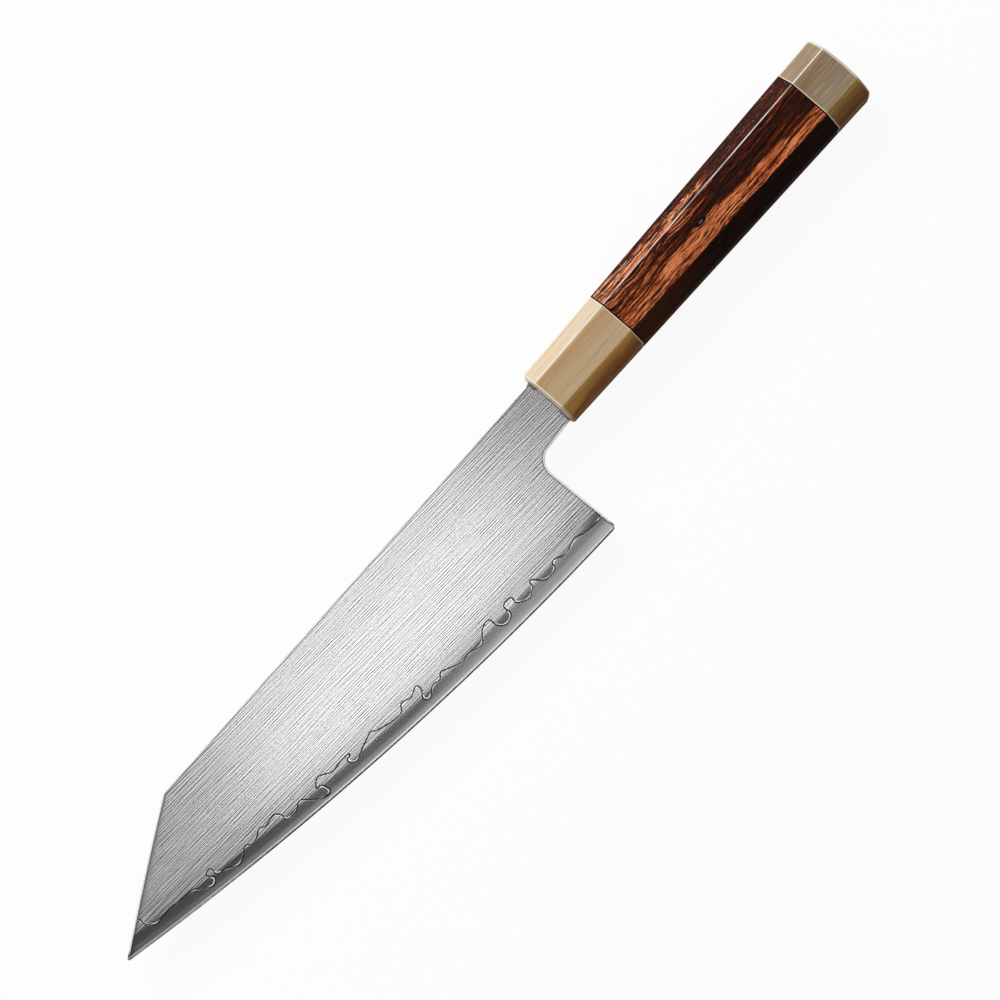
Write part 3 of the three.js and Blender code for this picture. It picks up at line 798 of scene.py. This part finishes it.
# painted shade on the wood's edge side
SHADED_SIDE_TONES = ((0.075, 0.030, 0.010), (0.0135, 0.0085, 0.0075))
KNOT_RING = (0.007, 0.004, 0.003)
KNOT_HEART = (0.2, 0.13, 0.1)
# painted shade in the joints at the wood's ends
WOOD_JOINT_SHADE = (0.006, 0.004, 0.003)
DOWEL_TONES = [(0.35, (0.40, 0.22, 0.085)), (0.65, (0.62, 0.40, 0.19))]
# resin of the seal, darkened as painted shade of the gap between the blade's neck and the ferrule
RESIN_SHADE_TONES = [(0.35, (0.22, 0.155, 0.13)), (0.6, (0.36, 0.26, 0.225))]


class Value:
    """What a node puts out. Sums, products and ranges of it add further nodes."""

    def __init__(self, shader, socket):
        self.shader = shader
        self.socket = socket

    def __add__(self, other):
        return self.shader.math("ADD", self, other)

    def __sub__(self, other):
        return self.shader.math("SUBTRACT", self, other)

    def __rsub__(self, other):
        return self.shader.math("SUBTRACT", other, self)

    def __mul__(self, other):
        return self.shader.math("MULTIPLY", self, other)

    def __abs__(self):
        return self.shader.math("ABSOLUTE", self)

    def most(self, *others):
        """The largest of this value and others."""
        largest = self
        for other in others:
            largest = self.shader.math("MAXIMUM", largest, other)
        return largest

    def range(self, low, high, to_low=0.0, to_high=1.0):
        """Goes from to_low to to_high between two values, and stays there beyond them."""
        inputs = {0: self, 1: low, 2: high, 3: to_low, 4: to_high}
        return self.shader.node("MapRange", 0, inputs, interpolation_type="SMOOTHSTEP")


class Shader:
    """A material's node tree, with the surface's colour as painted so far."""

    def __init__(self, name):
        self.material = bpy.data.materials.new(name)
        self.material.use_nodes = True
        self.tree = self.material.node_tree
        self.principled = self.tree.nodes["Principled BSDF"]
        self.color = None

    def connect(self, value, socket):
        if isinstance(value, Value):
            self.tree.links.new(value.socket, socket)
        else:
            socket.default_value = value

    def set(self, **values):
        for name, value in values.items():
            self.connect(value, self.principled.inputs[name.replace("_", " ")])

    def new(self, kind, inputs=(), **settings):
        node = self.tree.nodes.new("ShaderNode" + kind)
        for name, value in settings.items():
            setattr(node, name, value)
        for key, value in dict(inputs).items():
            self.connect(value, node.inputs[key])
        return node

    def node(self, kind, output=0, inputs=(), **settings):
        return Value(self, self.new(kind, inputs, **settings).outputs[output])

    def math(self, operation, *values):
        return self.node("Math", 0, dict(enumerate(values)), operation=operation)

    def vector(self, operation, a, b, output=0):
        return self.node("VectorMath", output, {0: a, 1: b}, operation=operation)

    def attribute(self, name):
        return self.node("Attribute", "Fac", attribute_name=name)

    def place(self):
        """Position in the knife's own frame, in millimetres."""
        moved = self.vector("SUBTRACT", self.node("TexCoord", "Object"), FRAME_ORIGIN)
        return self.vector("MULTIPLY", moved, (1 / MM,) * 3)

    def split(self, vector):
        return [Value(self, output) for output in self.new("SeparateXYZ", {0: vector}).outputs]

    def join(self, x, y, z):
        return self.node("CombineXYZ", 0, {0: x, 1: y, 2: z})

    def away(self, x, y, point):
        """Distance from a point, without regard to z."""
        return self.vector("DISTANCE", self.join(x, y, 0.0), (*point, 0), "Value")

    def noise(self, at, cells, detail=2.0, roughness=0.5):
        """Noise with a number of cells per millimetre along each axis."""
        scaled = self.vector("MULTIPLY", at, cells)
        inputs = {"Vector": scaled, "Scale": 1.0, "Detail": detail, "Roughness": roughness}
        return self.node("TexNoise", "Fac", inputs)

    def ramp(self, factor, stops):
        node = self.new("ValToRGB", {0: factor})
        elements = node.color_ramp.elements
        while len(elements) < len(stops):
            elements.new(1.0)
        for element, (position, color) in zip(elements, stops):
            element.position = position
            element.color = (*color, 1)
        return Value(self, node.outputs[0])

    def mix(self, share, a, b):
        a, b = [color if isinstance(color, Value) else (*color, 1) for color in (a, b)]
        return self.node("Mix", 2, {0: share, 6: a, 7: b}, data_type="RGBA")

    def tint(self, share, color):
        """Lays a share of another colour over the surface."""
        self.color = self.mix(share, self.color, color)

    def bump(self, height, strength, distance):
        inputs = {"Height": height, "Strength": strength, "Distance": distance}
        self.set(Normal=self.node("Bump", 0, inputs))


def line_marks(shader):
    """Pale and dark shares of the lamination line: pale inside each bend as a painted highlight, and dark
    outside it.
    """
    seam = shader.attribute("seam")
    bulge = shader.attribute("bulge")
    in_bend = abs(bulge * 0.28 + seam)
    off_bend = abs(bulge * -0.09 + seam)
    return in_bend.range(0.06, 0.2, 0.9, 0.0), off_bend.range(0.29, 0.12)


def brushed_tone(shader, at, x, above):
    """Colour of the flat with its hairlines along the brushing, and how dark the hairlines are."""
    turned = shader.node("VectorRotate", 0, {"Vector": at, "Angle": BRUSH_ANGLE}, rotation_type="Z_AXIS")
    beside = []
    for aside in (HAIRLINE_SPACING / 2, -HAIRLINE_SPACING / 2):
        moved = shader.vector("ADD", turned, (0, aside, 0))
        beside.append(shader.noise(moved, HAIRLINE_CELLS, detail=0.0))
    lines = shader.noise(turned, HAIRLINE_CELLS, detail=0.0) - (beside[0] + beside[1]) * 0.5
    grit = shader.noise(turned, (2.5, 5.0, 5.0), detail=0.0)
    contrast = x.range(-178.0, -135.0, 3.9, 1.4).most(x.range(-50.0, -10.0, 1.4, 2.3))
    contrast = contrast * above.range(8.0, 24.0, 1.3, 1.0)
    shade = lines * contrast + (grit * 0.45 + 0.275)
    return shader.ramp(shade, BRUSHED_TONES), shade.range(0.5, 0.1)


def blade_steel(name, bevel_tones, shaded, line_glow):
    """Steel that is brushed along the blade on its flat and polished on the bevel."""
    shader = Shader(name)
    at = shader.place()
    x, y, z = shader.split(at)
    above = EDGE_RADIUS - shader.away(x, y, EDGE_CENTRE)
    facing = abs(shader.split(shader.node("NewGeometry", "Normal"))[2])

    # Brushed flat, with a ragged border towards the bevel
    brushed, scratches = brushed_tone(shader, at, x, above)
    brushed = shader.mix(facing.range(0.1, 0.4), UPRIGHT_STEEL, brushed)
    ragged = scratches * -0.7 + above - x.range(-85.0, -30.0, 5.0, 7.6)
    flat = ragged.range(-0.6, 0.5)
    # Painted shade darkens the flat towards its border with the bevel; the flat is also a little darker
    # towards the spine, and painted light makes it lighter towards the tip.
    brushed = shader.mix(ragged.range(-0.6, 9.0, 0.3, 0.0), brushed, BLACK)
    brushed = shader.mix(y.range(-8.0, 3.0, 0.0, 0.1), brushed, BLACK)
    brushed = shader.mix(x.range(-170.0, -145.0, 0.17, 0.0), brushed, WHITE)

    # Polished bevel with painted shade: darker towards the tip, most near its shoulder, and darker near the
    # edge on the heel side
    polished = shader.ramp(shader.noise(shader.join(x, above, z), (0.03, 2.2, 1.0)), bevel_tones)
    heel_side = x.range(-75.0, -45.0)
    bevel_shade = above.range(1.4, 3.0) * x.range(-100.0, -60.0, 0.53, 0.0)
    bevel_shade = bevel_shade.most(above.range(1.0, 4.5, 0.32, 0.0) * heel_side, heel_side.range(0.0, 1.0, 0.15, 0.0))
    polished = shader.mix(bevel_shade * shaded, polished, BLACK)
    polished = shader.mix(scratches * above.range(3.0, 5.0, 0.0, 0.45), polished, SCORED_STEEL)
    shader.color = shader.mix(flat, polished, brushed)

    # Inclusions, dark tip and lamination line with its painted highlight
    for centre in INCLUSIONS:
        away = shader.away(x, y, centre)
        shader.tint(away.range(0.45, 0.65, 0.8, 0.0), INCLUSION_RIM)
        shader.tint(away.range(0.15, 0.35, 0.9, 0.0), INCLUSION_HEART)
    behind_tip = shader.vector("SUBTRACT", at, (*TIP, 0))
    from_tip = shader.vector("DOT_PRODUCT", behind_tip, (*TIP_INWARD, 0), "Value")
    shader.tint(from_tip.range(0.4, 2.2, 0.5, 0.0), TIP_SHADE)
    shader.tint(shader.away(x, y, TIP).range(1.0, 6.0, 0.8, 0.0), POINT_SHADE)
    pale, dark = line_marks(shader)
    pale = pale * line_glow
    shader.tint(pale, LINE_HIGHLIGHT)
    shader.tint(dark, LINE_DARK)

    # Painted highlight on the rims with painted shade just inside it, honed strip with a painted highlight,
    # and dark cutting edge of painted shade
    rim = shader.attribute("rim")
    off_edge = above.range(1.0, 2.5) * x.range(-1.5, -3.0)
    shader.tint(abs(rim - 0.75).range(0.1, 0.35, 0.6, 0.0) * off_edge, RIM_SHADE)
    rim_highlight = rim.range(0.52, 0.34) * facing.range(0.05, 0.25) * off_edge
    shader.tint(rim_highlight, RIM_HIGHLIGHT)
    honed = above.range(MICRO_WIDTH + 0.5, MICRO_WIDTH + 0.25) * x.range(-155.0, -110.0, 0.55, 0.75)
    shader.tint(honed, HONED_HIGHLIGHT)
    shader.tint(above.range(0.5, 0.36) * x.range(-175.0, -150.0, 0.3, 1.0), EDGE_SHADE)

    roughness = flat * (FLAT_ROUGHNESS - BEVEL_ROUGHNESS) + BEVEL_ROUGHNESS
    roughness = roughness.most(pale.most(rim_highlight) * 0.6, honed * 0.45)
    metallic = 1.0 - (rim_highlight * 0.85).most(honed * 0.6)
    tangent = shader.node("Tangent", direction_type="UV_MAP", uv_map="brush")
    shader.set(Base_Color=shader.color, Metallic=metallic, Roughness=roughness)
    shader.set(Anisotropic=BRUSHED_ANISOTROPY, Tangent=tangent)
    shader.bump(scratches * flat, -0.15, 0.00005)
    return shader.material


def ridge_highlight(x, y, width):
    """Share of the thin painted highlight along the spine-side ridges."""
    ridge = x * RIDGE_SPREAD + (RIDGE_FRONT - 0.05)
    return abs(y - ridge).range(width, width / 3)


def facet_roughness(y):
    """The handle is polished on its top and spine side, and dull towards the edge side."""
    return y.range(-7.0, -5.3, 1.0, 0.3)


def from_front(x, y, z):
    return x


def from_butt(x, y, z):
    return HANDLE_LENGTH - (x + (y * y + z * z) * (0.5 / BUTT_RADIUS))


def horn(name, tones, streak_tint, joint, from_end, end_tint, end_glow):
    """Pale horn with lengthwise streaks, painted light on its spine side and painted shade on its edge
    side, painted highlights along its spine-side ridges and on a rim at its joint and at its free end, and
    painted shade in the joint.
    """
    shader = Shader(name)
    at = shader.place()
    x, y, z = shader.split(at)
    end = from_end(x, y, z)
    cloud = shader.noise(at, (0.06, 0.16, 0.16), detail=3.0)
    glow = end.range(0.0, 14.0, end_glow, 0.0) * y.range(-6.5, -7.5)
    # The tones follow y: painted shade on the edge side and painted light on the spine side.
    drift = (cloud - 0.5) * 0.9 + y + glow
    shader.color = shader.ramp(drift * (1 / HORN_SPAN) + 0.5, tones)
    streak = shader.noise(at, (0.03, 1.5, 1.5), detail=3.0, roughness=0.6)
    shader.tint(streak.range(0.45, 0.7, 0.0, 0.45), streak_tint)
    hair = shader.noise(at, (0.07, 4.0, 4.0), detail=1.0)
    shader.tint(hair.range(0.55, 0.75, 0.0, 0.22), HORN_HAIR)
    shader.tint(ridge_highlight(x, y, 0.34) * end.range(0.1, 0.5, 0.0, 0.8), HORN_RIDGE_HIGHLIGHT)
    # Painted highlight along the outer spine-side ridge
    from_side = y - x * SIDE_SPREAD - FRONT_WIDTH / 2
    shader.tint(from_side.range(-0.5, -0.25, 0.0, 0.7), HORN_SIDE_HIGHLIGHT)
    shader.tint(end.range(0.1, 0.02), end_tint)
    # Painted highlight on the rounded rim near the end, weaker on the edge side
    rim = abs(end - 0.4).range(0.15, 0.4, 0.85, 0.0)
    shader.tint(rim * y.range(-9.0, -4.0, 0.3, 1.0), HORN_RIM_HIGHLIGHT)
    # Painted highlight on the rim beside the joint, and painted shade in the joint itself
    gap = abs(x - joint)
    shader.tint(gap.range(0.35, 0.5, 0.75, 0.0), HORN_JOINT_HIGHLIGHT)
    shader.tint(gap.range(0.14, 0.06), JOINT_SHADE)
    shader.set(Base_Color=shader.color, Roughness=facet_roughness(y), Specular_IOR_Level=0.3)
    shader.set(Subsurface_Weight=0.1, Subsurface_Radius=(1.0, 0.6, 0.3), Subsurface_Scale=0.0015)
    shader.bump(streak, 0.06, 0.0001)
    return shader.material


def from_shaded_side(x, y):
    """How far above the wood's strip of painted shade on the edge side a place is."""
    return y + (x * SHADED_SIDE_SPREAD + SHADED_SIDE_FRONT)


def wood_warmth(x, y, ragged):
    """How orange the wood is: a streak on the edge half, two beside the ridges, and flecks in front."""
    off_shade = from_shaded_side(x, y).range(-0.25, 0.25)
    border = x.range(42.0, 60.0, -2.2, 0.1) + x.range(72.0, 88.0, 0.0, -1.8)
    border = border + x.range(90.0, 117.0, 0.0, -1.2)
    main = (border - y + ragged).range(-0.5, 0.7) * x.range(80.0, 95.0, 1.0, 0.8) * off_shade
    from_ridge = ragged * 0.5 + (y - (x * RIDGE_SPREAD + RIDGE_FRONT))
    spread = abs(from_ridge - 0.8) - x.range(36.0, 52.0, 1.8, 0.0)
    chamfer = spread.range(0.9, 2.1, 1.0, 0.3) * from_ridge.range(-1.4, -0.3)
    # The chamfer's orange fades towards the butt: the wood's figure with painted falloff of the side light.
    chamfer = chamfer * x.range(66.0, 84.0, 0.95, 0.16)
    top = abs(from_ridge + 1.9).range(0.5, 1.3, 0.8, 0.0) * x.range(62.0, 80.0, 1.0, 0.05)
    flecks = x.range(45.0, 66.0, 0.56, 0.0) * y.range(4.0, 2.5) * off_shade
    return main.most(flecks, chamfer, top)


def body_wood():
    """Dark, polished wood with orange streaks, a knot and pores, painted shade on its edge side and in the
    joints at its ends, and painted highlights along its spine-side ridges.
    """
    shader = Shader("body_wood")
    at = shader.place()
    x, y, z = shader.split(at)
    ragged = (shader.noise(at, (0.055, 0.7, 0.7), detail=3.0) - 0.5) * 4.5
    warmth = wood_warmth(x, y, ragged)
    sway = shader.noise(at, (0.05, 0.1, 0.1))
    flow = shader.join(x, (sway - 0.5) * 5.0 + y, z)
    grain = shader.noise(flow, (0.05, 1.7, 1.7), detail=3.0, roughness=0.65)
    fibre = shader.noise(flow, (0.35, 4.0, 4.0), roughness=0.6)
    swing = (grain - 0.5) * 3.2 + (fibre - 0.5) * 2.2
    swing = swing * (warmth * y.range(-1.5, 1.0, 0.75, 1.6) + 0.45)
    heat = warmth * 0.58 + 0.18 + swing
    shader.color = shader.ramp(heat, WOOD_TONES)
    shader.tint(heat.range(0.65, 1.15) * y.range(7.0, 8.0, 0.0, 0.95), WOOD_SHINE)
    veins = abs(shader.noise(flow, (0.022, 0.85, 0.85), detail=0.0) - 0.5)
    shader.tint(veins.range(0.02, 0.07, 0.9, 0.0) * y.range(-2.0, 1.0, 0.3, 1.0), WOOD_PORE)
    pores = shader.noise(at, (0.4, 4.6, 4.6), detail=1.0)
    shader.tint(pores.range(0.55, 0.68) * y.range(7.0, 8.0, 0.7, 0.95), WOOD_PORE)
    specks = shader.noise(at, (0.8, 2.4, 2.4), detail=1.0)
    shader.tint(specks.range(0.70, 0.76) * y.range(7.0, 8.5, 0.0, 0.8) * z.range(2.5, 4.5), WOOD_SPECK)
    # Painted shade on the edge side, deeper towards the butt
    shaded_side = from_shaded_side(x, y).range(0.2, -0.3) * x.range(36.0, 66.0, 0.4, 0.75)
    shader.tint(shaded_side, shader.mix(x.range(36.0, 70.0), *SHADED_SIDE_TONES))
    knot = shader.away((x - KNOT_X) * (1 / KNOT_STRETCH), y, (0, 0))
    shader.tint(knot.range(1.05, 0.75), KNOT_RING)
    shader.tint(knot.range(0.15, 0.5, 0.7, 0.0), KNOT_HEART)
    shine = shader.noise(shader.join(x, 0.0, 0.0), (0.09, 1.0, 1.0)).range(0.35, 0.6, 0.35, 1.0)
    shader.tint(ridge_highlight(x, y, 0.27) * shine, WOOD_RIDGE_HIGHLIGHT)
    # Painted shade in the joints at both ends of the body
    from_end = BODY_LENGTH / 2 - abs(x - (BODY_START + CAP_START) / 2)
    shader.tint(from_end.range(0.4, 0.25), WOOD_JOINT_SHADE)
    shader.set(Base_Color=shader.color, Roughness=facet_roughness(y), Specular_IOR_Level=0.06)
    shader.bump(grain, 0.1, 0.0002)
    return shader.material


def seal_resin():
    # Resin seal, coloured dark as painted shade of the gap in front of the ferrule
    shader = Shader("seal_resin")
    cloud = shader.noise(shader.place(), (0.5, 0.5, 0.5), detail=3.0)
    shader.set(Base_Color=shader.ramp(cloud, RESIN_SHADE_TONES), Roughness=0.4)
    return shader.material


def dowel_wood():
    shader = Shader("dowel_wood")
    grain = shader.noise(shader.place(), (0.05, 1.8, 1.8), detail=4.0)
    shader.set(Base_Color=shader.ramp(grain, DOWEL_TONES), Roughness=0.7)
    shader.bump(grain, 0.2, 0.0002)
    return shader.material


def paint(piece, material):
    piece.data.materials.clear()
    piece.data.materials.append(material)


def paint_node(name, material):
    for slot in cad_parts[name].material_slots:
        slot.material = material


clad_look = blade_steel("cladding_steel", CLADDING_BEVEL, shaded=0.3, line_glow=1.0)
dowel_look = dowel_wood()
paint(blade["core"], blade_steel("core_steel", CORE_BEVEL, shaded=1.0, line_glow=0.45))
paint(blade["left"], clad_look)
paint(blade["right"], clad_look)
paint(handle["ferrule"], horn(
    "ferrule_horn", FERRULE_LIT_TONES, FERRULE_STREAK, FERRULE_LENGTH, from_front, FERRULE_END, end_glow=1.3))
paint(handle["body"], body_wood())
paint(handle["cap"], horn(
    "cap_horn", CAP_LIT_TONES, CAP_STREAK, CAP_START, from_butt, CAP_END, end_glow=0.0))
paint_node("tang_seal", seal_resin())
paint_node("tang_dowel", dowel_look)
paint_node("cap_dowel", dowel_look)


# Floor, light and camera

FLOOR_SIZE = 12.0
FLOOR_COLOR = (0.9, 0.9, 0.9, 1)
FLOOR_GLOW = 0.93  # share of plain white that the eye and mirrors see on the floor
FLOOR_RAYS = ("Is Camera Ray", "Is Glossy Ray", "Is Transmission Ray")
WORLD_COLOR = (0.18, 0.18, 0.18, 1)
# Soft light panels: centre and aim in millimetres, size along and across the knife in metres, radiance
PANELS = {
    "blade_panel": ((-84, 88, 1000), (-84, 88, 0), (0.23, 0.13), 3.4),
    "key_panel": ((-100, 1000, 1000), (-30, 0, 0), (1.5, 0.9), 4.4),
    "edge_panel": ((-62, -360, 1000), (-62, -360, 0), (0.46, 0.34), 0.95),
}
FRAME_WIDTH = 0.29445  # what the picture spans at the blade's middle plane, in metres
VIEW_DISTANCE = 1.17
VIEW_TARGET = (-31.7, -8.9, 0.0)
VIEW_TURN = 48.62  # degrees from the picture's right to the handle's direction
VIEW_TO_EDGE = 5.5  # degrees that the camera leans over the cutting edge
VIEW_TO_TIP = 2.9  # degrees that it leans over the tip


def add_floor():
    half = FLOOR_SIZE / 2
    corners = [(-half, -half, 0), (half, -half, 0), (half, half, 0), (-half, half, 0)]
    mesh = bpy.data.meshes.new("floor")
    mesh.from_pydata(corners, [], [(0, 1, 2, 3)])
    floor = bpy.data.objects.new("floor", mesh)
    bpy.context.scene.collection.objects.link(floor)
    shader = Shader("floor")
    shader.set(Base_Color=FLOOR_COLOR, Roughness=0.9)
    first, *others = [shader.node("LightPath", ray) for ray in FLOOR_RAYS]
    matt = Value(shader, shader.principled.outputs[0])
    white = shader.node("Emission")
    surface = shader.node("MixShader", 0, {0: first.most(*others) * FLOOR_GLOW, 1: matt, 2: white})
    shader.connect(surface, shader.tree.nodes["Material Output"].inputs["Surface"])
    mesh.materials.append(shader.material)


def look(eye, target):
    """Matrix of something that looks from a point at another, its x as far along the knife as can be."""
    back = (eye - target).normalized()
    ahead = (Vector((1, 0, 0)) - back * back.x).normalized()
    return Matrix.Translation(eye) @ Matrix((ahead, back.cross(ahead), back)).transposed().to_4x4()


def add_panel(name, centre, aim, size, radiance):
    light = bpy.data.lights.new(name, "AREA")
    light.shape = "RECTANGLE"
    light.size, light.size_y = size
    light.energy = radiance * math.pi * size[0] * size[1]
    panel = bpy.data.objects.new(name, light)
    panel.matrix_world = look(place(centre), place(aim))
    bpy.context.scene.collection.objects.link(panel)


def add_world():
    world = bpy.data.worlds.new("studio")
    world.use_nodes = True
    world.node_tree.nodes["Background"].inputs["Color"].default_value = WORLD_COLOR
    bpy.context.scene.world = world


def add_camera():
    to_tip, to_edge = [math.tan(math.radians(angle)) for angle in (VIEW_TO_TIP, VIEW_TO_EDGE)]
    lean = Vector((-to_tip, -to_edge, 1)).normalized()
    data = bpy.data.cameras.new("camera")
    data.lens = data.sensor_width * VIEW_DISTANCE / FRAME_WIDTH
    camera = bpy.data.objects.new("camera", data)
    target = place(VIEW_TARGET)
    turn = Matrix.Rotation(math.radians(-VIEW_TURN), 4, "Z")
    camera.matrix_world = look(target + lean * VIEW_DISTANCE, target) @ turn
    bpy.context.scene.collection.objects.link(camera)
    bpy.context.scene.camera = camera


add_floor()
add_world()
for name, panel in PANELS.items():
    add_panel(name, *panel)
add_camera()
bpy.context.scene.view_settings.view_transform = "Standard"
